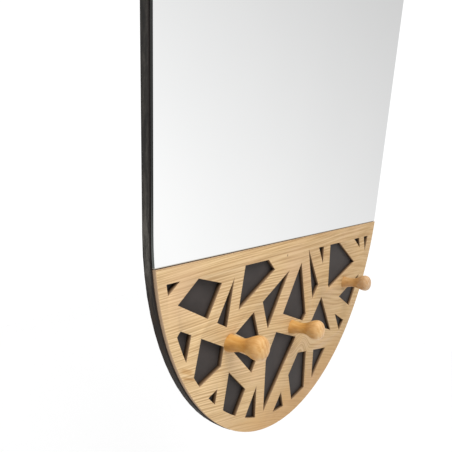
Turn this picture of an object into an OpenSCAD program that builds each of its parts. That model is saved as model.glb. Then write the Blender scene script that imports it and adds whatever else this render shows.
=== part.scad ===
// Wall mirror with a fretwork panel and three turned pegs.
// X runs to the right, Y towards the wall and Z up. The origin lies on the wall, behind the board's middle.

/* [Board] */
// Width of the mirror, which is also the diameter of its round ends
board_w = 450; // [400:10:560]
// Height of the mirror
board_h = 900; // [760:10:1100]
// Thickness of the black carrier board
board_t = 6; // [5:0.5:12]

/* [Mirror] */
// Thickness of the mirror glass
glass_t = 2; // [2:0.5:4]
// How far the glass stays back from the board's edge
glass_inset = 0.5; // [0:0.25:2]
// Thickness of the foam tape behind the glass
tape_t = 1; // [0.5:0.25:2]
// Width of a strip of foam tape
tape_w = 25; // [15:1:35]
// Distance from the edge of the glass to the tape
tape_inset = 8; // [5:1:15]

/* [Fretwork panel] */
// Height of the panel, from the lowest point of the mirror
panel_h = 204; // [170:1:230]
// Thickness of the panel
panel_t = 4; // [3:0.5:6]
// How far the panel stays back from the board's edge
panel_inset = 0.75; // [0:0.25:2]
// Gap between the panel's top edge and the glass
seam = 0.5; // [0.25:0.25:3]
// Width of the solid rim around the openings, on average
rim_w = 16; // [12:1:22]
// How far the openings as a whole sit to the left of the middle
field_left = 8; // [0:1:8]
// How far the openings as a whole sit above the middle of the round end
field_up = 2; // [0:1:4]
// Width of the solid rail along the panel's top edge, in the middle
rail_w = 15; // [13:1:20]
// How much the rail's lower edge slopes down to the right, in degrees
rail_slope = 1.2; // [0:0.2:1.2]
// Width of every bar of the lattice, as a share of the drawn one
bar_share = 1; // [0.9:0.05:1.3]

/* [Pegs] */
// Length of a peg, from the panel to its tip
peg_l = 35; // [30:1:45]
// Radius of a peg's foot
peg_foot_r = 7.25; // [6:0.25:9]
// Radius of a peg's waist
peg_waist_r = 5.5; // [5:0.25:7]
// Radius of a peg's head
peg_head_r = 9.75; // [8.5:0.25:13]
// Distance of the waist from the panel
peg_waist_at = 13; // [9:1:15]
// Length of the rounded end past the widest point of the head
peg_dome_l = 6.5; // [5:0.5:10]
// How far the pegs tilt up, in degrees
peg_tilt = 8; // [0:1:8]

/* [Screws] */
// Radius of the shank of a peg screw
peg_screw_r = 1.75; // [1.5:0.25:2.25]
// Length of a peg screw
peg_screw_l = 20; // [18:1:24]
// Radius of the countersunk head of a peg screw
peg_screw_head_r = 3.5; // [3.25:0.25:4.5]
// Radius of the shank of a hanger screw
hanger_screw_r = 1.5; // [1.25:0.25:2]
// Depth of a hanger screw in the board
hanger_screw_l = 4.5; // [4:0.25:4.75]
// Radius of the pan head of a hanger screw
hanger_screw_head_r = 3; // [2.5:0.25:4]
// Height of the pan head of a hanger screw
hanger_screw_head_h = 1.8; // [1.4:0.2:2.4]

/* [Hangers] */
// Distance of a hanger from the mirror's side
hanger_edge = 75; // [50:5:100]
// Distance of the hangers' hinge axis below the start of the upper round end
hanger_down = 10; // [5:5:100]
// Thickness of the strap's steel
strap_t = 1; // [0.8:0.1:1.2]
// Width of the strap and its barrel
strap_w = 14; // [12:1:16]
// Distance from the hinge axis to the first screw
strap_screw_at = 22; // [21:1:26]
// Distance between the strap's two screws
strap_screw_pitch = 10; // [9:1:14]
// Radius of the ring's wire
wire_r = 1.25; // [1:0.05:1.3]
// Outer radius of the barrel
barrel_r = 2.5; // [2.5:0.05:2.6]
// Width of the ring between the middles of its sides
ring_w = 22; // [21:0.5:26]
// Length of the straight part of the ring's sides
ring_side_l = 4; // [2:0.5:4]

/* [Bumpers] */
// Height of a bumper, which is the gap behind the board
bumper_h = 5.5; // [5.5:0.25:9]
// Radius of a bumper where it is glued to the board
bumper_r = 6; // [5:0.5:10]
// Radius of a bumper's face on the wall
bumper_face_r = 5; // [4:0.25:5]
// Distance of a bumper from the mirror's side
bumper_edge = 75; // [60:5:100]
// How far the bumpers lie inside the round ends
bumper_out = 75; // [20:5:100]

/* [Hidden] */

$fn = 96;
cut = 0.5;                 // how far a cutting shape runs past a face
running_gap = 0.05;        // between a shaft or shank and its hole, on the radius
free_gap = 0.25;           // between a screw and a hole that it only passes

end_r = board_w / 2;                     // radius of the round ends
end_z = board_h / 2 - end_r;             // height of their middles above and below the origin
bottom_z = -board_h / 2;
board_back = -bumper_h;
board_front = board_back - board_t;
front = board_front - panel_t;           // face of the panel, where the pegs stand
panel_top = bottom_z + panel_h;
field_r = end_r - rim_w;
ring_y = board_back + barrel_r;          // height of the hinge axis off the wall's plane
ring_r = ring_w / 2;
strap_end_at = strap_screw_at + strap_screw_pitch;
hanger_z = end_z - hanger_down;          // height of the hinge axis

// The lattice is drawn on a panel this wide and this high. It stretches with the real one.
drawn_w = 450;
drawn_h = 204;
// Middle line and width of each straight bar: from x, height, to x, height, width
bars = [
    [-175, 205, -222, 172, 12],
    [-135, 205, -172, 147, 13],
    [-130, 205, -156, 65, 13],
    [-222, 179, -146, 135.7, 15],
    [-150, 137.8, -86, 98.7, 12.5],
    [-140, 143.1, -30, 191, 17],
    [-190, 200, -152, 188, 12],
    [-105.5, 160, -83, 107.1, 15],
    [-14, 205, -124, 47, 19],
    [-21.5, 205, 14.5, 107, 18],
    [21.5, 85, 27.5, 10, 21],
    [-70, 128, 100, 55, 19],
    [-20, 87, 104, 53, 20],
    [-80, 19, 44, 144, 22],
    [41.5, 205, 50.5, 132, 19],
    [-5, 205, 120, 43, 20],
    [60, 118, 200, 151, 29],
    [75, 205, 208, 136, 24],
    [59, 123, 176, 63, 23],
    [-87, 205, -58, 180, 24],
    [-89.5, 105, -86.5, 25, 15],
    [40, 8, 100, 57, 24],
    [-42.5, 65, -22.5, 10, 18],
    [-145, 118, -104, 76, 15],
    [-182.5, 157, -195.5, 105, 12],
    [-195, 94.5, -148, 106.5, 17],
    [-200, 165, -211, 154, 8],
    [158, 205, 204, 120, 18]
];
// Where the three pegs stand on the drawn panel: x, height
left_peg_at = [-143.5, 130.8];
middle_peg_at = [-32, 111.4];
right_peg_at = [114, 131];

// A place on the drawn panel, as a place on the real one
function on_panel(p) = [p[0] * board_w / drawn_w, bottom_z + p[1] * panel_h / drawn_h];

// Everything flat is drawn in X and Z and raised from the wall's side towards the front
module plate(back, thickness) {
    translate([0, back, 0])
        rotate([90, 0, 0])
            linear_extrude(thickness)
                children();
}

// A stadium: two round ends and the straight part between them
module outline(inset = 0) {
    r = end_r - inset;
    translate([0, end_z]) circle(r);
    translate([0, -end_z]) circle(r);
    translate([-r, -end_z]) square([2 * r, 2 * end_z]);
}

module above(z) {
    translate([-board_w, z]) square([2 * board_w, 2 * board_h]);
}

module hole(at, r, back, depth) {
    translate([at[0], back, at[1]])
        rotate([90, 0, 0])
            cylinder(h = depth, r = r, $fn = 48);
}

module back_board() {
    color([0.16, 0.15, 0.14])
        difference() {
            plate(board_back, board_t) outline();
            for (p = [left_peg_at, middle_peg_at, right_peg_at]) {
                hole(on_panel(p), peg_screw_r + free_gap, board_back + cut, board_t + 2 * cut);
                countersink(on_panel(p));
            }
            for (side = [-1, 1], at = strap_screws(side))
                hole(at, hanger_screw_r + running_gap, board_back + cut, hanger_screw_l + 2 * cut);
        }
}

module mirror_glass() {
    color([0.85, 0.88, 0.88])
        plate(board_front - tape_t, glass_t)
            intersection() {
                outline(glass_inset);
                above(panel_top + seam);
            }
}

// A strip of tape from the panel's seam up to the round edge of the glass
module tape(x) {
    color([0.3, 0.3, 0.3])
        plate(board_front, tape_t)
            intersection() {
                outline(glass_inset + tape_inset);
                above(panel_top + seam + tape_inset);
                translate([x - tape_w / 2, bottom_z]) square([tape_w, board_h]);
            }
}

tape_edge_x = end_r - glass_inset - tape_inset - tape_w / 2;

module left_outer_tape() { tape(-tape_edge_x); }
module left_inner_tape() { tape(-tape_edge_x / 3); }
module right_inner_tape() { tape(tape_edge_x / 3); }
module right_outer_tape() { tape(tape_edge_x); }

// One straight bar of the lattice, given as in the list of bars
module bar(b) {
    start = on_panel([b[0], b[1]]);
    end = on_panel([b[2], b[3]]);
    run = end - start;
    width = b[4] * bar_share;
    translate(start)
        rotate(atan2(run[1], run[0]))
            translate([0, -width / 2])
                square([norm(run), width]);
}

module panel_outline() {
    difference() {
        outline(panel_inset);
        above(panel_top);
    }
}

module openings() {
    difference() {
        translate([-field_left, -end_z + field_up]) circle(field_r);
        translate([0, panel_top - rail_w]) rotate(-rail_slope) above(0);
        for (b = bars) bar(b);
    }
}

module fretwork_panel() {
    color([0.87, 0.73, 0.53])
        difference() {
            plate(board_front, panel_t)
                difference() {
                    panel_outline();
                    openings();
                }
            for (p = [left_peg_at, middle_peg_at, right_peg_at])
                hole(on_panel(p), peg_screw_r + free_gap, board_front + cut, panel_t + 2 * cut);
        }
}

// Radius of a peg at a distance from its seat: a waist between a foot and a head, then a rounded end
function half_wave(t) = (1 - cos(180 * t)) / 2;
peg_widest_at = peg_l - peg_dome_l;
function peg_radius(s) =
    s <= 0 ? peg_foot_r
    : s < peg_waist_at ? peg_foot_r + (peg_waist_r - peg_foot_r) * half_wave(s / peg_waist_at)
    : peg_waist_r + (peg_head_r - peg_waist_r)
        * half_wave((s - peg_waist_at) / (peg_widest_at - peg_waist_at));
peg_steps = 20;
dome_steps = 8;
peg_sink = 2;              // how far the turned shape runs behind its seat before it is cut flat

module peg_body() {
    flank = [
        for (i = [0 : peg_steps])
            let (s = i * peg_widest_at / peg_steps)
                [peg_radius(s), s]
    ];
    dome = [
        for (i = [1 : dome_steps])
            let (a = 90 * i / dome_steps)
                [peg_head_r * pow(cos(a), 0.75), peg_widest_at + peg_dome_l * sin(a)]
    ];
    rotate_extrude()
        polygon(concat([[0, -peg_sink], [peg_foot_r, -peg_sink]], flank, dome));
}

module peg(p) {
    at = on_panel(p);
    color([0.82, 0.6, 0.33])
        difference() {
            translate([at[0], front, at[1]])
                rotate([90 - peg_tilt, 0, 0])
                    peg_body();
            translate([at[0] - 2 * peg_head_r, front, at[1] - 2 * peg_head_r])
                cube([4 * peg_head_r, 2 * peg_sink, 4 * peg_head_r]);
            hole(at, peg_screw_r + running_gap, front + cut, peg_screw_l - board_t - panel_t + 2 * cut);
        }
}

module left_peg() { peg(left_peg_at); }
module middle_peg() { peg(middle_peg_at); }
module right_peg() { peg(right_peg_at); }

peg_screw_head_h = peg_screw_head_r - peg_screw_r;
peg_screw_tip_l = 3;

// The seat of a countersunk head in the back of the board
module countersink(at) {
    translate([at[0], board_back, at[1]])
        rotate([90, 0, 0])
            cylinder(h = peg_screw_head_h, r1 = peg_screw_head_r + running_gap,
                r2 = peg_screw_r + running_gap, $fn = 48);
}

// A cross recess for a screwdriver, seen from behind
module cross_recess(half_l, depth) {
    for (turn = [0, 90])
        rotate([0, turn, 0])
            translate([-half_l, -depth, -0.4])
                cube([2 * half_l, 2 * depth, 0.8]);
}

module peg_screw(p) {
    at = on_panel(p);
    color([0.75, 0.75, 0.72])
        difference() {
            translate([at[0], board_back, at[1]])
                rotate([90, 0, 0]) {
                    cylinder(h = peg_screw_head_h, r1 = peg_screw_head_r, r2 = peg_screw_r, $fn = 48);
                    cylinder(h = peg_screw_l - peg_screw_tip_l, r = peg_screw_r, $fn = 48);
                    translate([0, 0, peg_screw_l - peg_screw_tip_l])
                        cylinder(h = peg_screw_tip_l, r1 = peg_screw_r, r2 = 0.3, $fn = 48);
                }
            translate([at[0], board_back, at[1]])
                cross_recess(peg_screw_head_r * 0.55, peg_screw_head_h * 0.6);
        }
}

module left_peg_screw() { peg_screw(left_peg_at); }
module middle_peg_screw() { peg_screw(middle_peg_at); }
module right_peg_screw() { peg_screw(right_peg_at); }

function hanger_x(side) = side * (end_r - hanger_edge);
function strap_screws(side) = [
    for (i = [0, 1])
        [hanger_x(side), hanger_z - strap_screw_at - i * strap_screw_pitch]
];

// A strap lies flat on the board and is rolled into a barrel around the ring's straight bar
module hanger_strap(side) {
    x = hanger_x(side);
    color([0.78, 0.72, 0.55])
        difference() {
            union() {
                plate(board_back + strap_t, strap_t) {
                    translate([x - strap_w / 2, hanger_z - strap_end_at])
                        square([strap_w, strap_end_at]);
                    translate([x, hanger_z - strap_end_at])
                        circle(strap_w / 2);
                }
                translate([x - strap_w / 2, ring_y, hanger_z])
                    rotate([0, 90, 0])
                        cylinder(h = strap_w, r = barrel_r, $fn = 48);
            }
            translate([x - strap_w / 2 - cut, ring_y, hanger_z])
                rotate([0, 90, 0])
                    cylinder(h = strap_w + 2 * cut, r = wire_r + running_gap, $fn = 48);
            for (at = strap_screws(side))
                hole(at, hanger_screw_r + free_gap, board_back + strap_t + cut, strap_t + 2 * cut);
        }
}

module left_hanger_strap() { hanger_strap(-1); }
module right_hanger_strap() { hanger_strap(1); }

// A D-ring of round wire: a straight bar in the barrel, two short sides and a half circle, hanging down
module hanger_ring(side) {
    color([0.78, 0.72, 0.55])
        translate([hanger_x(side), ring_y, hanger_z]) {
            translate([-ring_r, 0, 0])
                rotate([0, 90, 0])
                    cylinder(h = ring_w, r = wire_r, $fn = 48);
            for (end = [-1, 1]) {
                translate([end * ring_r, 0, -ring_side_l])
                    cylinder(h = ring_side_l, r = wire_r, $fn = 48);
                translate([end * ring_r, 0, 0])
                    sphere(wire_r, $fn = 48);
            }
            translate([0, 0, -ring_side_l])
                rotate([90, 0, 0])
                    rotate([0, 0, 180])
                        rotate_extrude(angle = 180)
                            translate([ring_r, 0]) circle(wire_r, $fn = 48);
        }
}

module left_hanger_ring() { hanger_ring(-1); }
module right_hanger_ring() { hanger_ring(1); }

module hanger_screws(side) {
    color([0.75, 0.75, 0.72])
        for (at = strap_screws(side))
            difference() {
                union() {
                    hole(at, hanger_screw_r, board_back + strap_t, strap_t + hanger_screw_l);
                    hole(at, hanger_screw_head_r, board_back + strap_t + hanger_screw_head_h,
                        hanger_screw_head_h);
                }
                translate([at[0], board_back + strap_t + hanger_screw_head_h, at[1]])
                    cross_recess(hanger_screw_head_r * 0.55, hanger_screw_head_h * 0.6);
            }
}

module left_hanger_screws() { hanger_screws(-1); }
module right_hanger_screws() { hanger_screws(1); }

// A rubber bumper: a short cone with a rounded shoulder and a flat face on the wall
module bumper(side, level) {
    shoulder = bumper_r - bumper_face_r;
    color([0.12, 0.12, 0.12])
        translate([side * (end_r - bumper_edge), board_back, level * (end_z + bumper_out)])
            rotate([-90, 0, 0])
                rotate_extrude()
                    polygon([
                        [0, 0], [bumper_r, 0], [bumper_r, bumper_h - shoulder],
                        for (a = [30, 60, 90])
                            [bumper_face_r + shoulder * cos(a), bumper_h - shoulder + shoulder * sin(a)],
                        [0, bumper_h]
                    ]);
}

module upper_left_bumper() { bumper(-1, 1); }
module upper_right_bumper() { bumper(1, 1); }
module lower_left_bumper() { bumper(-1, -1); }
module lower_right_bumper() { bumper(1, -1); }

back_board();
mirror_glass();
left_outer_tape();
left_inner_tape();
right_inner_tape();
right_outer_tape();
fretwork_panel();
left_peg();
middle_peg();
right_peg();
left_peg_screw();
middle_peg_screw();
right_peg_screw();
left_hanger_strap();
right_hanger_strap();
left_hanger_ring();
right_hanger_ring();
left_hanger_screws();
right_hanger_screws();
upper_left_bumper();
upper_right_bumper();
lower_left_bumper();
lower_right_bumper();
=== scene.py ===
# A wall mirror with a fretwork panel and three turned pegs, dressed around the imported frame.
import math
import bpy
import bmesh
from mathutils import Matrix, Vector


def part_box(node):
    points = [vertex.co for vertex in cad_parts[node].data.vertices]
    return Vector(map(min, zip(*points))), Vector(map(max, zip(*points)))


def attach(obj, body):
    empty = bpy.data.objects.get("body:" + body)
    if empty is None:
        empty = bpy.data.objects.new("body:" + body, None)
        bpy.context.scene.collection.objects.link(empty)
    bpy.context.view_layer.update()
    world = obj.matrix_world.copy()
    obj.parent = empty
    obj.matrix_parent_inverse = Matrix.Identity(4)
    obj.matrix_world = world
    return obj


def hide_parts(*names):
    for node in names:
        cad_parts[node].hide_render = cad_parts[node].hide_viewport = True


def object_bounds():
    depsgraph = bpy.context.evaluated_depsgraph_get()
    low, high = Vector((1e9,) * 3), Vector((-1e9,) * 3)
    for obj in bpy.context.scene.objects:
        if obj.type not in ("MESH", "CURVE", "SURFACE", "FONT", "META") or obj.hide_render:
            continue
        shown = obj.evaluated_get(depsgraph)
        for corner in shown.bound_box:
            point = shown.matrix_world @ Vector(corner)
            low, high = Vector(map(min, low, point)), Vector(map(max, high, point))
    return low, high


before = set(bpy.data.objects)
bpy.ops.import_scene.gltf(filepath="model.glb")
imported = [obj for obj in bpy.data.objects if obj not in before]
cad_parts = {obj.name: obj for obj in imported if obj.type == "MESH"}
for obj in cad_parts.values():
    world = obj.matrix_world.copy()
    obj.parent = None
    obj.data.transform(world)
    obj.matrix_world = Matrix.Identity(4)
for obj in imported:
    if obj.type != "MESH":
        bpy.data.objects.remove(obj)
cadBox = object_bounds()
scene = bpy.context.scene
scene.view_settings.view_transform = "Standard"
print("frame loaded:", len(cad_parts), "nodes")

photoCamera = {
    "spot": (-0.3788, -0.1795, -0.19),  # metres, close to the left edge and level with the lower half
    "yaw": 54.09,  # degrees to the right of straight at the wall
    "pitch": -13.81,
    "roll": 2.49,
    "lens": 30.72,
    "sensorWidth": 36,
    "shiftY": 0.1007,
    "nearest": 0.01,  # metres, nothing closer is seen
}


def placeCamera(look):
    data = bpy.data.cameras.new("photoCamera")
    data.sensor_width = look["sensorWidth"]
    data.lens = look["lens"]
    data.shift_y = look["shiftY"]
    data.clip_start = look["nearest"]
    camera = bpy.data.objects.new("photoCamera", data)
    turn = Matrix.Rotation(math.radians(-look["yaw"]), 4, "Z")
    turn = turn @ Matrix.Rotation(math.radians(90 + look["pitch"]), 4, "X")
    turn = turn @ Matrix.Rotation(math.radians(look["roll"]), 4, "Z")
    camera.matrix_world = Matrix.Translation(look["spot"]) @ turn
    scene.collection.objects.link(camera)
    scene.camera = camera


def addNode(tree, kind, inputs=None, **settings):
    made = tree.nodes.new("ShaderNode" + kind)
    for name, value in settings.items():
        setattr(made, name, value)
    for name, value in (inputs or {}).items():
        if isinstance(value, bpy.types.NodeSocket):
            tree.links.new(value, made.inputs[name])
        else:
            made.inputs[name].default_value = value
    return made


def calc(tree, operation, a, b=0.0):
    return addNode(tree, "Math", {0: a, 1: b}, operation=operation).outputs[0]


def vectorCalc(tree, operation, output, *values):
    made = addNode(tree, "VectorMath", dict(enumerate(values)), operation=operation)
    return made.outputs[output]


def axis(tree, place, name):
    return addNode(tree, "SeparateXYZ", {0: place}).outputs[name]


def weighted(tree, *parts):
    total = None
    for value, weight in parts:
        share = calc(tree, "MULTIPLY", value, weight)
        total = share if total is None else calc(tree, "ADD", total, share)
    return total


def spread(tree, value, low, high, toLow=0.0, toHigh=1.0, smooth=False):
    kind = "SMOOTHSTEP" if smooth else "LINEAR"
    numbers = {0: value, 1: low, 2: high, 3: toLow, 4: toHigh}
    return addNode(tree, "MapRange", numbers, interpolation_type=kind).outputs[0]


def swing(tree, value, reach):  # a value between 0 and 1 becomes one around 0
    return calc(tree, "MULTIPLY", calc(tree, "SUBTRACT", value, 0.5), reach)


def ripple(tree, turn):  # radians become waves between 0 and 1
    return calc(tree, "ADD", calc(tree, "MULTIPLY", calc(tree, "SINE", turn), 0.5), 0.5)


def cover(tree, share, colour, paint, mode="MIX"):
    inputs = {0: share, 6: colour, 7: (*paint, 1)}
    return addNode(tree, "Mix", inputs, data_type="RGBA", blend_type=mode).outputs[2]


def ramp(tree, factor, places, colours):
    made = addNode(tree, "ValToRGB", {"Fac": factor})
    points = made.color_ramp.elements
    while len(points) < len(places):
        points.new(0.5)
    for point, place, colour in zip(points, places, colours):
        point.position = place
        point.color = (*colour, 1)
    return made.outputs["Color"]


# A range gives its two ends: radians to the right, or how far a direction points up or back (-1 to 1)
studio = {
    "backdrop": 1.08,  # brightness behind the wall's plane, and of the backdrop on all sides
    "behind": (-0.15, 0.0),
    "room": 1.184,  # brightness in front of the wall, which the mirror shows
    "roomRight": (0.209, 0.081),  # how it falls to the right, by the angle and its square
    "roomUp": (0.253, 0.308),  # and upwards, by the height and its square
    "dimmest": 0.6,
    "brightest": 1.0,
    "leftShare": 0.5,  # share of it that is left on the left side
    "leftRange": (-0.35, 0.5),
    "underShare": 0.3,  # and below
    "underRange": (-0.75, -0.35),
    "overhead": 1.1,  # added high up, where no mirror in the main view shows it
    "overheadRange": (0.45, 0.9),
    "floorDrop": 1.0,  # metres from the mirror's lowest point to the floor
    "floorSize": 6.0,
    "floorTone": 0.9,
    "floorRoughness": 0.8,
    "floorSpecular": 0.1,
    "keySpot": (-0.30, -0.55, 0.70),
    "keyAim": (0.0, 0.0, -0.3),
    "keySize": 0.6,
    "keyPower": 8,
}


def lightRoom(look):
    world = bpy.data.worlds.new("studio")
    scene.world = world
    world.use_nodes = True
    tree = world.node_tree
    away = addNode(tree, "TexCoord").outputs["Generated"]
    right, back, up = addNode(tree, "SeparateXYZ", {0: away}).outputs
    angle = calc(tree, "ARCTAN2", right, calc(tree, "MULTIPLY", back, -1.0))
    angleSquare = calc(tree, "MULTIPLY", angle, angle)
    upSquare = calc(tree, "MULTIPLY", up, up)
    fall = weighted(tree, (angle, look["roomRight"][0]), (angleSquare, look["roomRight"][1]),
                    (up, look["roomUp"][0]), (upSquare, look["roomUp"][1]))
    room = calc(tree, "SUBTRACT", look["room"], fall)
    room = calc(tree, "MAXIMUM", room, look["dimmest"])
    room = calc(tree, "MINIMUM", room, look["brightest"])
    leftSide = spread(tree, angle, *look["leftRange"], look["leftShare"], 1.0, smooth=True)
    room = calc(tree, "MULTIPLY", room, leftSide)
    under = spread(tree, up, *look["underRange"], look["underShare"], 1.0, smooth=True)
    room = calc(tree, "MULTIPLY", room, under)
    overhead = spread(tree, up, *look["overheadRange"], 0.0, look["overhead"], smooth=True)
    room = calc(tree, "ADD", room, overhead)
    gap = calc(tree, "SUBTRACT", look["backdrop"], room)
    seen = addNode(tree, "LightPath").outputs["Is Camera Ray"]
    plain = calc(tree, "MAXIMUM", spread(tree, back, *look["behind"]), seen)
    strength = calc(tree, "ADD", room, calc(tree, "MULTIPLY", gap, plain))
    tree.links.new(strength, tree.nodes["Background"].inputs["Strength"])
    tree.nodes["Background"].inputs["Color"].default_value = (1, 1, 1, 1)


def hangLamp(look):
    data = bpy.data.lights.new("keyLight", "AREA")
    data.shape = "DISK"
    data.size = look["keySize"]
    data.energy = look["keyPower"]
    lamp = bpy.data.objects.new("keyLight", data)
    lamp.location = look["keySpot"]
    aim = Vector(look["keyAim"]) - Vector(look["keySpot"])
    lamp.rotation_euler = aim.to_track_quat("-Z", "Y").to_euler()
    lamp.visible_glossy = False  # keeps the lamp out of the mirror
    scene.collection.objects.link(lamp)


def layFloor(look):
    half = look["floorSize"] / 2
    level = cadBox[0][2] - look["floorDrop"]
    corners = [(-half, -half, level), (half, -half, level), (half, half, level), (-half, half, level)]
    mesh = bpy.data.meshes.new("floor")
    mesh.from_pydata(corners, [], [(0, 1, 2, 3)])
    floor = bpy.data.objects.new("floor", mesh)
    scene.collection.objects.link(floor)
    material = bpy.data.materials.new("palePaint")
    material.use_nodes = True
    shader = material.node_tree.nodes["Principled BSDF"]
    shader.inputs["Base Color"].default_value = (look["floorTone"], look["floorTone"], look["floorTone"], 1)
    shader.inputs["Roughness"].default_value = look["floorRoughness"]
    shader.inputs["Specular IOR Level"].default_value = look["floorSpecular"]
    mesh.materials.append(material)


placeCamera(photoCamera)
lightRoom(studio)
hangLamp(studio)
layFloor(studio)
print("camera, light and floor set")


def startFinish(name, **values):
    material = bpy.data.materials.new(name)
    material.use_nodes = True
    tree = material.node_tree
    shader = tree.nodes["Principled BSDF"]
    for key, value in values.items():
        shader.inputs[key.replace("_", " ")].default_value = value
    place = addNode(tree, "TexCoord").outputs["Object"]
    return material, tree, shader, place


def noise(tree, place, scale, detail, roughness=0.5):  # the scale counts per metre on each axis
    vector = addNode(tree, "Mapping", {"Vector": place, "Scale": scale}).outputs[0]
    numbers = {"Vector": vector, "Scale": 1.0, "Detail": detail, "Roughness": roughness}
    return addNode(tree, "TexNoise", numbers).outputs["Fac"]


def feedColour(tree, shader, colour):
    tree.links.new(colour, shader.inputs["Base Color"])


def feedRoughness(tree, shader, value, low, high, span=(0.3, 0.7)):  # most of a noise lies in the span
    tree.links.new(spread(tree, value, *span, low, high), shader.inputs["Roughness"])


def feedBump(tree, shader, height, distance):
    bump = addNode(tree, "Bump", {"Height": height, "Distance": distance, "Strength": 1.0})
    tree.links.new(bump.outputs["Normal"], shader.inputs["Normal"])


# Thin grain lines fan out to the right: level along the rail, sloping down to the right below it.
# Places and heights are metres in the part's frame. A noise gives its scale and detail. A range gives
# where it starts and ends and, where there are four numbers, the values that it runs between.
oakLook = {
    "dark": (0.480, 0.302, 0.138),
    "middle": (0.635, 0.438, 0.225),
    "pale": (0.740, 0.535, 0.298),
    "stops": (0.22, 0.50, 0.78),
    "roughness": (0.62, 0.50),
    "specular": 0.3,
    "relief": 0.00005,
    "lineGap": 0.0023,  # between two lines at the left side
    "fan": 2.7,  # how fast the lines spread, per metre
    "fanFrom": (-0.20, -0.258),  # the left side, and the height where the lines run level
    "wave": ((7, 12, 14), 1.0),
    "sway": 0.006,
    "drift": ((5, 20, 130), 0.0),
    "driftTurn": 20.0,  # radians
    "dashes": ((14, 30, 1200), 0.0),
    "dashRange": (0.36, 0.64),
    "bands": ((5, 10, 110), 2.0),
    "fibre": ((90, 100, 3200), 2.0),
    "shares": (0.32, 0.38, 0.16, 0.14),  # of lines, dashes, bands and fibre
    "calm": (-0.375, -0.415, 1.0, 0.5),  # the grain is fainter along the bottom rim
    "archAt": (-0.002, 0.0, -0.368),  # the lines arch over this place, below the middle peg
    "archReach": 0.028,
    "archLift": 0.007,
    "brown": (0.540, 0.360, 0.165),  # painted shade: darker and browner towards the lower right, where the lines are fainter
    "brownRange": (0.15, 0.55, 0.0, 0.55),
    # painted shade: the veneer darker towards the right
    "rightTint": (0.86, 0.82, 0.76),
    "rightRange": (-0.20, 0.0),
    # painted shade: the veneer darker and browner towards the bottom
    "lowTint": (0.93, 0.83, 0.70),
    "lowRange": (-0.39, -0.43),
    "pinkish": (0.620, 0.400, 0.235),
    "blush": ((16, 16, 30), 2.0),
    "blushRange": (0.5, 0.75, 0.0, 0.4),
    "blushAt": (-0.198, 0.0, -0.264),  # a pale pinkish place at the rail's left end
    "blushReach": 0.035,
    "blushShare": 0.5,
    "streaks": [((-0.1936, 0.0, -0.3245), 0.0026), ((-0.1915, 0.0, -0.3310), 0.0012)],  # place, half width
    "streakAlong": (0.88, 0.0, -0.475),  # two short brown bands at the left rim
    "streakAcross": (0.475, 0.0, 0.88),
    "streakHalf": 0.010,
    "streakTint": (0.80, 0.69, 0.53),
    "arrisTint": (0.80, 0.77, 0.74),  # painted shade along the face's top edge, at the seam
    "arrisReach": 0.0010,
    "pore": (0.30, 0.17, 0.07),
    "pores": ((90, 300, 2400), 1.0),
    "poreRange": (0.64, 0.74, 0.0, 0.4),
    "knotAt": (-0.054, 0.0, -0.2600),  # a dark fleck in the rail
    "knotSize": (0.0015, 0.0007),
}


def nearSpot(tree, place, spot, reach, full=0.0):  # 1 at the spot, 0 from its reach on
    off = vectorCalc(tree, "SUBTRACT", "Vector", place, spot)
    off = vectorCalc(tree, "MULTIPLY", "Vector", off, (1.0, 0.0, 1.0))
    return spread(tree, vectorCalc(tree, "LENGTH", "Value", off), reach, full, smooth=True)


def nearStreak(tree, place, look, spot, halfWidth):  # 1 along the middle of a short band
    off = vectorCalc(tree, "SUBTRACT", "Vector", place, spot)
    share = 1.0
    for direction, half in ((look["streakAlong"], look["streakHalf"]), (look["streakAcross"], halfWidth)):
        distance = calc(tree, "ABSOLUTE", vectorCalc(tree, "DOT_PRODUCT", "Value", off, direction))
        share = calc(tree, "MULTIPLY", spread(tree, distance, half, half / 3, smooth=True), share)
    return share


def grainHeight(tree, place, look):  # the height, bent so that each grain line lies level in it
    leftSide, levelAt = look["fanFrom"]
    across = calc(tree, "SUBTRACT", axis(tree, place, "X"), leftSide)
    closeness = calc(tree, "EXPONENT", calc(tree, "MULTIPLY", across, -look["fan"]))
    above = calc(tree, "SUBTRACT", axis(tree, place, "Z"), levelAt)
    lined = calc(tree, "MULTIPLY", above, closeness)
    lined = calc(tree, "ADD", lined, swing(tree, noise(tree, place, *look["wave"]), look["sway"]))
    arch = nearSpot(tree, place, look["archAt"], look["archReach"])
    return calc(tree, "SUBTRACT", lined, calc(tree, "MULTIPLY", arch, look["archLift"]))


def shadeOak(tree, place, look, colour):  # the veneer's larger differences in colour, with painted shade towards the lower right, the right, the bottom and along the seam
    across, height = axis(tree, place, "X"), axis(tree, place, "Z")
    corner = calc(tree, "SUBTRACT", across, height)
    # painted shade: darker and browner towards the lower right, the right and the bottom
    colour = cover(tree, spread(tree, corner, *look["brownRange"]), colour, look["brown"])
    rightShadeShare = spread(tree, across, *look["rightRange"])
    colour = cover(tree, rightShadeShare, colour, look["rightTint"], "MULTIPLY")
    low = spread(tree, height, *look["lowRange"])
    colour = cover(tree, low, colour, look["lowTint"], "MULTIPLY")
    blush = spread(tree, noise(tree, place, *look["blush"]), *look["blushRange"])
    leftEnd = nearSpot(tree, place, look["blushAt"], look["blushReach"])
    blush = calc(tree, "MAXIMUM", blush, calc(tree, "MULTIPLY", leftEnd, look["blushShare"]))
    colour = cover(tree, blush, colour, look["pinkish"])
    for spot, halfWidth in look["streaks"]:
        streak = nearStreak(tree, place, look, spot, halfWidth)
        colour = cover(tree, streak, colour, look["streakTint"], "MULTIPLY")
    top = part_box("fretwork_panel")[1][2]
    # painted shade along the top edge of the face, at the seam
    arris = spread(tree, height, top - look["arrisReach"], top - look["arrisReach"] / 2)
    return cover(tree, arris, colour, look["arrisTint"], "MULTIPLY")


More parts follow.
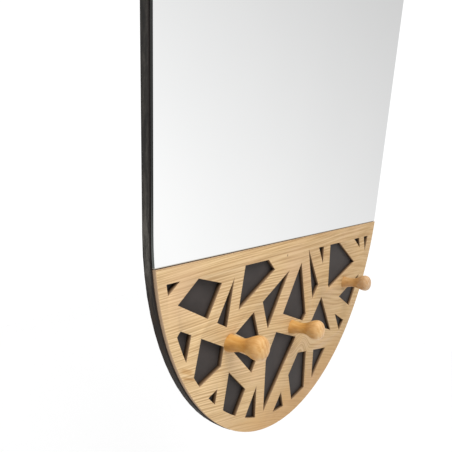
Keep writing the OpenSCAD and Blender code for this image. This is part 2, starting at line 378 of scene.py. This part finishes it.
def makeOak(look):
    material, tree, shader, place = startFinish("oakVeneer", Specular_IOR_Level=look["specular"])
    lined = grainHeight(tree, place, look)
    grain = addNode(tree, "CombineXYZ", {0: axis(tree, place, "X"), 2: lined}).outputs[0]
    drift = noise(tree, grain, *look["drift"])
    turn = weighted(tree, (lined, 2 * math.pi / look["lineGap"]), (drift, look["driftTurn"]))
    dashes = spread(tree, noise(tree, grain, *look["dashes"]), *look["dashRange"])
    bands = noise(tree, grain, *look["bands"])
    fibre = noise(tree, grain, *look["fibre"])
    figure = weighted(tree, *zip((ripple(tree, turn), dashes, bands, fibre), look["shares"]))
    calm = spread(tree, axis(tree, place, "Z"), *look["calm"])
    figure = calc(tree, "ADD", swing(tree, figure, calm), 0.5)
    colour = ramp(tree, figure, look["stops"], (look["dark"], look["middle"], look["pale"]))
    colour = shadeOak(tree, place, look, colour)
    pores = spread(tree, noise(tree, grain, *look["pores"]), *look["poreRange"])
    pores = calc(tree, "MAXIMUM", pores, nearSpot(tree, place, look["knotAt"], *look["knotSize"]))
    feedColour(tree, shader, cover(tree, pores, colour, look["pore"]))
    feedRoughness(tree, shader, figure, *look["roughness"])
    feedBump(tree, shader, calc(tree, "SUBTRACT", fibre, pores), look["relief"])
    return material


# Sawn edges of the panel: how deep from the board (0) to the face (1), and the colour there. Both darken
# towards the board, partly the cut's charring and partly painted shade in the recess; the openings are
# painted darker than the rim as its shaded copy
sawnLook = {
    "rim": ((0.0, 0.24, 0.34, 0.8, 1.0),
            ((0.030, 0.020, 0.014), (0.060, 0.040, 0.026), (0.300, 0.205, 0.133),
             (0.400, 0.270, 0.165), (0.560, 0.385, 0.230))),
    # painted shade: the openings' walls are darker than the rim, being deeper in shade
    "opening": ((0.0, 0.35, 0.7, 1.0),
                ((0.016, 0.009, 0.005), (0.070, 0.040, 0.020), (0.230, 0.138, 0.072),
                 (0.440, 0.290, 0.165))),
    "specks": ((700, 300, 700), 2.0),
    "ragged": 0.16,  # how far the specks shift the depth
    "roughness": 0.8,
    "specular": 0.15,
    "relief": 0.00006,
}


def makeSawn(name, look, kind):
    material, tree, shader, place = startFinish(name, Roughness=look["roughness"],
                                                Specular_IOR_Level=look["specular"])
    low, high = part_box("fretwork_panel")
    # painted shade: the colour darkens with depth towards the board
    depth = spread(tree, axis(tree, place, "Y"), high[1], low[1])
    specks = noise(tree, place, *look["specks"])
    ragged = calc(tree, "ADD", depth, swing(tree, specks, look["ragged"]))
    feedColour(tree, shader, ramp(tree, ragged, *look[kind]))
    feedBump(tree, shader, specks, look["relief"])
    return material


boardFaceLook = {
    "dark": (0.040, 0.034, 0.032),
    "pale": (0.052, 0.044, 0.041),
    "stops": (0.35, 0.65),
    "cloud": ((60, 60, 60), 4.0),
    "grit": ((2200, 2200, 2200), 2.0),
    "roughness": (0.66, 0.76),
    "specular": 0.2,
    "relief": 0.00004,
}


def makeBlackFace(look):
    material, tree, shader, place = startFinish("blackBoard", Specular_IOR_Level=look["specular"])
    cloud = noise(tree, place, *look["cloud"])
    feedColour(tree, shader, ramp(tree, cloud, look["stops"], (look["dark"], look["pale"])))
    feedRoughness(tree, shader, cloud, *look["roughness"])
    feedBump(tree, shader, noise(tree, place, *look["grit"]), look["relief"])
    return material


# The board's edge has a painted highlight around one height, a little above the seam
boardEdgeLook = {
    "dark": (0.010, 0.009, 0.008),
    "middle": (0.026, 0.023, 0.020),
    "light": (0.062, 0.055, 0.048),
    "stops": (0.38, 0.52, 0.68),
    "blotch": ((110, 420, 70), 4.0, 0.6),
    "grit": ((900, 1500, 900), 3.0),
    "shares": (0.75, 0.25),
    "rubbed": (0.125, 0.115, 0.100),
    "rubbedAt": -0.236,
    "rubbedHalf": 0.048,
    "rubbedRange": (0.40, 0.62),
    "rubbedShare": 0.75,
    "lowTint": (0.72, 0.52, 0.38),  # darker and browner beside the panel
    "lowRange": (-0.246, -0.280),
    "roughness": (0.62, 0.78),
    "roughSpan": (0.35, 0.65),
    "specular": 0.2,
    "relief": 0.00012,
}


def makeBlackEdge(look):
    material, tree, shader, place = startFinish("blackBoardEdge", Specular_IOR_Level=look["specular"])
    noises = (noise(tree, place, *look["blotch"]), noise(tree, place, *look["grit"]))
    mixed = weighted(tree, *zip(noises, look["shares"]))
    colour = ramp(tree, mixed, look["stops"], (look["dark"], look["middle"], look["light"]))
    height = axis(tree, place, "Z")
    # painted highlight: the edge is paler around one height
    off = calc(tree, "ABSOLUTE", calc(tree, "SUBTRACT", height, look["rubbedAt"]))
    near = spread(tree, off, look["rubbedHalf"], 0.0, smooth=True)
    sheen = calc(tree, "MULTIPLY", near, spread(tree, mixed, *look["rubbedRange"]))
    colour = cover(tree, calc(tree, "MULTIPLY", sheen, look["rubbedShare"]), colour, look["rubbed"])
    low = spread(tree, height, *look["lowRange"])
    feedColour(tree, shader, cover(tree, low, colour, look["lowTint"], "MULTIPLY"))
    feedRoughness(tree, shader, mixed, *look["roughness"], look["roughSpan"])
    feedBump(tree, shader, mixed, look["relief"])
    return material


# A greyish brown line is painted on the silvering along the seam: a painted reflection of the panel's edge
# and painted shade of the gap
silverLook = {
    "dim": (0.955, 0.96, 0.96),
    "bright": (0.97, 0.973, 0.972),
    "stops": (0.3, 0.7),
    "haze": ((7, 7, 7), 3.0),
    "roughness": (0.008, 0.02),
    "line": (0.60, 0.56, 0.50),
    "lineWidth": 0.0010,
}


def makeSilver(look):
    material, tree, shader, place = startFinish("silvering", Metallic=1.0)
    haze = noise(tree, place, *look["haze"])
    colour = ramp(tree, haze, look["stops"], (look["dim"], look["bright"]))
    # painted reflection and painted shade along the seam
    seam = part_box("mirror_glass")[0][2]
    near = spread(tree, axis(tree, place, "Z"), seam + look["lineWidth"], seam + look["lineWidth"] / 2)
    feedColour(tree, shader, cover(tree, near, colour, look["line"]))
    feedRoughness(tree, shader, haze, *look["roughness"])
    return material


# The ground edge of the glass is nearly black high up, and painted light makes it paler towards the seam
glassEdgeLook = {
    "dark": (0.013, 0.0135, 0.013),
    "pale": (0.130, 0.140, 0.132),
    "stops": (0.28, 0.80),
    "bands": ((20, 1400, 20), 1.0),
    "lowRange": (-0.19, -0.25),
    "shares": (0.5, 0.5),  # of the bands and of the height
    # painted light in the shaded seam, with a painted reflection of the panel's brown edge
    "seam": (0.40, 0.36, 0.30),
    "seamReach": 0.0007,
    "grit": ((1200, 1200, 1200), 2.0),
    "roughness": (0.35, 0.5),
    "specular": 0.25,
    "relief": 0.00003,
}


def makeGlassEdge(look):
    material, tree, shader, place = startFinish("groundGlassEdge", Specular_IOR_Level=look["specular"])
    bands = noise(tree, place, *look["bands"])
    height = axis(tree, place, "Z")
    # painted light: the edge is paler lower down, towards the seam
    low = spread(tree, height, *look["lowRange"])
    mixed = weighted(tree, *zip((bands, low), look["shares"]))
    colour = ramp(tree, mixed, look["stops"], (look["dark"], look["pale"]))
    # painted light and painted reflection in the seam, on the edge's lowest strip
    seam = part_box("mirror_glass")[0][2]
    near = spread(tree, height, seam + look["seamReach"], seam + look["seamReach"] / 2)
    feedColour(tree, shader, cover(tree, near, colour, look["seam"]))
    feedRoughness(tree, shader, bands, *look["roughness"])
    feedBump(tree, shader, noise(tree, place, *look["grit"]), look["relief"])
    return material


# Growth rings run along the peg, around a pith outside it, and show as arcs at its end
pegLook = {
    "dark": (0.440, 0.206, 0.052),
    "middle": (0.575, 0.306, 0.098),
    "pale": (0.650, 0.412, 0.172),
    "stops": (0.30, 0.48, 0.66),
    "pith": (0.014, 0.005, 0.0),
    "ringWidth": 0.0034,
    "wander": ((160, 160, 30), 2.0),
    "wanderTurn": 7.0,  # radians
    "streaks": ((900, 900, 26), 3.0, 0.6),
    "clouds": ((120, 120, 60), 2.0),
    "shares": (0.07, 0.40, 0.53),  # of rings, streaks and clouds
    "endRange": (0.0305, 0.0335, 0.0, 0.07),  # metres along the peg, and how strong the rings get there
    "neckTint": (1.0, 0.93, 0.70),  # painted shade: foot and waist, under the head, are darker and more orange than the head
    "neckRange": (0.024, 0.018),
    "tints": [(-0.09, (1.04, 1.09, 1.22)), (0.05, (0.84, 0.88, 1.14))],  # each from its place on to the right
    "tintReach": 0.01,
    "roughness": (0.40, 0.52),
    "specular": 0.35,
    "coat": 0.3,
    "coatRoughness": 0.28,
    "coatIor": 1.45,
    "relief": 0.00002,
}


def makeLacquered(look):
    material, tree, shader, spot = startFinish("lacqueredWood", Specular_IOR_Level=look["specular"],
                                               Coat_Weight=look["coat"], Coat_IOR=look["coatIor"],
                                               Coat_Roughness=look["coatRoughness"])
    place = addNode(tree, "Attribute", attribute_name="turned").outputs["Vector"]
    flat = vectorCalc(tree, "SUBTRACT", "Vector", place, look["pith"])
    flat = vectorCalc(tree, "MULTIPLY", "Vector", flat, (1, 1, 0))
    radius = vectorCalc(tree, "LENGTH", "Value", flat)
    wander = noise(tree, place, *look["wander"])
    turn = weighted(tree, (radius, 2 * math.pi / look["ringWidth"]), (wander, look["wanderTurn"]))
    rings = ripple(tree, turn)
    streaks = noise(tree, place, *look["streaks"])
    clouds = noise(tree, place, *look["clouds"])
    mixed = weighted(tree, *zip((rings, streaks, clouds), look["shares"]))
    along = axis(tree, place, "Z")
    mixed = calc(tree, "ADD", mixed, swing(tree, rings, spread(tree, along, *look["endRange"])))
    colour = ramp(tree, mixed, look["stops"], (look["dark"], look["middle"], look["pale"]))
    # painted shade on the foot and waist, under the head
    neckShadeShare = spread(tree, along, *look["neckRange"])
    colour = cover(tree, neckShadeShare, colour, look["neckTint"], "MULTIPLY")
    for start, tint in look["tints"]:
        beyond = spread(tree, axis(tree, spot, "X"), start, start + look["tintReach"])
        colour = cover(tree, beyond, colour, tint, "MULTIPLY")
    feedColour(tree, shader, colour)
    feedRoughness(tree, shader, streaks, *look["roughness"])
    feedBump(tree, shader, streaks, look["relief"])
    return material


platedLook = {
    "zinc": {"dark": (0.55, 0.56, 0.57), "pale": (0.78, 0.79, 0.80), "roughness": (0.26, 0.44)},
    "brass": {"dark": (0.66, 0.52, 0.28), "pale": (0.86, 0.74, 0.46), "roughness": (0.20, 0.38)},
    "stops": (0.35, 0.65),
    "brushing": ((2500, 900, 120), 2.0),
    "stain": ((240, 240, 240), 3.0),
    "shares": (0.5, 0.5),
    "relief": 0.00001,
}


def makePlated(name, look, metal):
    material, tree, shader, place = startFinish(name, Metallic=1.0)
    brushing = noise(tree, place, *look["brushing"])
    stain = noise(tree, place, *look["stain"])
    mixed = weighted(tree, *zip((brushing, stain), look["shares"]))
    feedColour(tree, shader, ramp(tree, mixed, look["stops"], (look[metal]["dark"], look[metal]["pale"])))
    feedRoughness(tree, shader, mixed, *look[metal]["roughness"])
    feedBump(tree, shader, brushing, look["relief"])
    return material


softLook = {
    "rubber": {"dark": (0.012, 0.012, 0.012), "pale": (0.03, 0.03, 0.03), "grain": 900, "roughness": 0.7},
    "foam": {"dark": (0.05, 0.05, 0.05), "pale": (0.12, 0.12, 0.12), "grain": 1500, "roughness": 0.95},
    "stops": (0.35, 0.65),
    "detail": 3.0,
    "specular": 0.3,
    "relief": 0.00008,
}


def makeSoft(name, look, kind):
    stuff = look[kind]
    material, tree, shader, place = startFinish(name, Roughness=stuff["roughness"],
                                                Specular_IOR_Level=look["specular"])
    cells = noise(tree, place, (stuff["grain"],) * 3, look["detail"])
    feedColour(tree, shader, ramp(tree, cells, look["stops"], (stuff["dark"], stuff["pale"])))
    feedBump(tree, shader, cells, look["relief"])
    return material


finishes = {
    "oak": makeOak(oakLook),
    "oakRim": makeSawn("oakRim", sawnLook, "rim"),
    "oakOpening": makeSawn("oakOpening", sawnLook, "opening"),
    "blackFace": makeBlackFace(boardFaceLook),
    "blackEdge": makeBlackEdge(boardEdgeLook),
    "silver": makeSilver(silverLook),
    "glassEdge": makeGlassEdge(glassEdgeLook),
    "peg": makeLacquered(pegLook),
    "zinc": makePlated("zincPlate", platedLook, "zinc"),
    "brass": makePlated("brassPlate", platedLook, "brass"),
    "rubber": makeSoft("bumperRubber", softLook, "rubber"),
    "foam": makeSoft("foamTape", softLook, "foam"),
}
print("finishes made:", len(finishes))

easing = {
    "weld": 1e-6,  # metres
    "flat": 0.5,  # degrees, faces that differ less are joined
    "sharp": 30,  # degrees, from here on an edge is eased
}


def softened(node, name, width):  # a copy of a frame node with its sharp edges eased
    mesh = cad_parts[node].data.copy()
    mesh.name = name
    mesh.materials.clear()
    piece = bpy.data.objects.new(name, mesh)
    scene.collection.objects.link(piece)
    shape = bmesh.new()
    shape.from_mesh(mesh)
    bmesh.ops.remove_doubles(shape, verts=shape.verts, dist=easing["weld"])
    bmesh.ops.dissolve_limit(shape, angle_limit=math.radians(easing["flat"]),
                             verts=shape.verts, edges=shape.edges)
    shape.normal_update()
    limit = math.radians(easing["sharp"])
    sharp = [edge for edge in shape.edges
             if len(edge.link_faces) == 2 and edge.calc_face_angle() > limit]
    bmesh.ops.bevel(shape, geom=sharp, offset=width, offset_type="OFFSET", segments=1 if width else 0,
                    profile=0.5, affect="EDGES", clamp_overlap=True)
    for face in shape.faces:
        face.material_index = 0
        face.smooth = True
    shape.to_mesh(mesh)
    shape.free()
    return piece


def shadeByAngle(piece, degrees):
    for other in bpy.context.selected_objects:
        other.select_set(False)
    piece.select_set(True)
    bpy.context.view_layer.objects.active = piece
    bpy.ops.object.shade_smooth_by_angle(angle=math.radians(degrees))


def dress(piece, body, node):
    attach(piece, body)
    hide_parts(node)


plates = {
    "board": {"node": "back_board", "arris": 0.0004, "slot": "black_board",
              "face": "blackFace", "edge": "blackEdge", "opening": "blackEdge"},
    "fretwork": {"node": "fretwork_panel", "arris": 0.00015, "slot": "oak",
                 "face": "oak", "edge": "oakRim", "opening": "oakOpening"},
    "glass": {"node": "mirror_glass", "arris": 0.0003, "slot": "mirror",
              "face": "silver", "edge": "glassEdge", "opening": "glassEdge"},
}
plateSides = {
    "facing": 0.9,  # a face that looks this straight to the front or back takes the face's finish
    "rimDepth": 0.0025,  # how far in from the round outline a face still belongs to the edge
    "topDepth": 0.001,  # and how far down from the top
    "smoothTo": 35,  # degrees
}


def finishFaces(piece, plate, sides):
    for part in ("face", "edge", "opening"):
        piece.data.materials.append(finishes[plate[part]])
    low, high = (Vector(corner) for corner in cadBox)
    endRadius = (high.x - low.x) / 2
    endHeight = (high.z - low.z) / 2 - endRadius
    top = max(corner[2] for corner in piece.bound_box)
    for face in piece.data.polygons:
        x, y, z = face.center
        out = math.hypot(x, max(abs(z) - endHeight, 0))
        if abs(face.normal.y) > sides["facing"]:
            face.material_index = 0
        else:
            atRim = out > endRadius - sides["rimDepth"] or z > top - sides["topDepth"]
            face.material_index = 1 if atRim else 2


for name, plate in plates.items():
    piece = softened(plate["node"], name, plate["arris"])
    finishFaces(piece, plate, plateSides)
    shadeByAngle(piece, plateSides["smoothTo"])
    dress(piece, "mirror", plate["node"])
print("board, fretwork and glass made")

pegShape = {
    "places": {"left": (-0.1435, -0.3192), "middle": (-0.0320, -0.3386), "right": (0.1140, -0.3190)},  # x, z
    "tilt": 8.0,
    "length": 0.035,
    "foot": 0.00725,
    "waist": 0.0055,
    "head": 0.00975,
    "waistAt": 0.013,
    "dome": 0.0065,
    "domePower": 0.75,  # below 1 the dome's shoulder is fuller
    "sink": 0.002,
    "around": 64,
    "steps": 40,
    "domeSteps": 16,
    "smoothTo": 50,  # degrees
}


def halfWave(share):
    return (1 - math.cos(math.pi * share)) / 2


def pegProfile(peg):
    widestAt = peg["length"] - peg["dome"]
    points = [(peg["foot"], -peg["sink"])]
    for i in range(peg["steps"] + 1):
        along = i * widestAt / peg["steps"]
        if along < peg["waistAt"]:
            radius = peg["foot"] + (peg["waist"] - peg["foot"]) * halfWave(along / peg["waistAt"])
        else:
            share = (along - peg["waistAt"]) / (widestAt - peg["waistAt"])
            radius = peg["waist"] + (peg["head"] - peg["waist"]) * halfWave(share)
        points.append((radius, along))
    for i in range(1, peg["domeSteps"]):
        angle = math.radians(90 * i / peg["domeSteps"])
        radius = peg["head"] * math.cos(angle) ** peg["domePower"]
        points.append((radius, widestAt + peg["dome"] * math.sin(angle)))
    return points


def spin(shape, profile, around, tipAt):
    rings = []
    for radius, along in profile:
        ring = []
        for i in range(around):
            angle = 2 * math.pi * i / around
            ring.append(shape.verts.new((radius * math.cos(angle), radius * math.sin(angle), along)))
        rings.append(ring)
    for low, high in zip(rings, rings[1:]):
        for i in range(around):
            j = (i + 1) % around
            shape.faces.new((low[i], low[j], high[j], high[i]))
    tip = shape.verts.new((0, 0, tipAt))
    for i in range(around):
        shape.faces.new((rings[-1][i], rings[-1][(i + 1) % around], tip))
    shape.faces.new(list(reversed(rings[0])))


def turnPeg(side, peg):
    shape = bmesh.new()
    spin(shape, pegProfile(peg), peg["around"], peg["length"])
    tilt = math.radians(peg["tilt"])
    seat = Vector((0, -math.sin(tilt), math.cos(tilt)))  # the panel's face, seen from the tilted peg
    everything = shape.verts[:] + shape.edges[:] + shape.faces[:]
    cut = bmesh.ops.bisect_plane(shape, geom=everything, plane_co=(0, 0, 0), plane_no=seat, clear_inner=True)
    rim = [item for item in cut["geom_cut"] if isinstance(item, bmesh.types.BMEdge)]
    bmesh.ops.holes_fill(shape, edges=rim)
    for face in shape.faces:
        face.smooth = True
    mesh = bpy.data.meshes.new(side + "Peg")
    shape.to_mesh(mesh)
    shape.free()
    turned = mesh.attributes.new("turned", "FLOAT_VECTOR", "POINT")  # the finish follows the peg's own axis
    for vertex, value in zip(mesh.vertices, turned.data):
        value.vector = vertex.co
    x, z = peg["places"][side]
    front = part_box("fretwork_panel")[0][1]
    mesh.transform(Matrix.Translation((x, front, z)) @ Matrix.Rotation(math.radians(90) - tilt, 4, "X"))
    mesh.materials.append(finishes["peg"])
    piece = bpy.data.objects.new(side + "Peg", mesh)
    scene.collection.objects.link(piece)
    shadeByAngle(piece, peg["smoothTo"])
    dress(piece, "mirror", side + "_peg")


for side in pegShape["places"]:
    turnPeg(side, pegShape)
print("pegs turned")

hardware = {
    "hanger_strap": {"finish": "brass", "slot": "brass_plate", "arris": 0.00025},
    "hanger_ring": {"finish": "brass", "slot": "brass_plate", "arris": 0.0},
    "hanger_screws": {"finish": "zinc", "slot": "zinc", "arris": 0.0002},
    "peg_screw": {"finish": "zinc", "slot": "zinc", "arris": 0.0001},
    "bumper": {"finish": "rubber", "slot": "rubber", "arris": 0.0},
}
smoothHardwareTo = 40  # degrees


def fitHardware(node, kind, look):
    words = node.split("_")
    name = words[0] + "".join(word.title() for word in words[1:])
    piece = softened(node, name, look["arris"])
    piece.data.materials.append(finishes[look["finish"]])
    shadeByAngle(piece, smoothHardwareTo)
    body = words[0] + "_ring" if kind == "hanger_ring" else "mirror"
    dress(piece, body, node)


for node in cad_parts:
    for kind, look in hardware.items():
        if node.endswith(kind):
            fitHardware(node, kind, look)
    if node.endswith("tape"):  # the flat strips stay as they are
        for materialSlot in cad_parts[node].material_slots:
            materialSlot.material = finishes["foam"]
print("hangers, screws, bumpers and tape made")
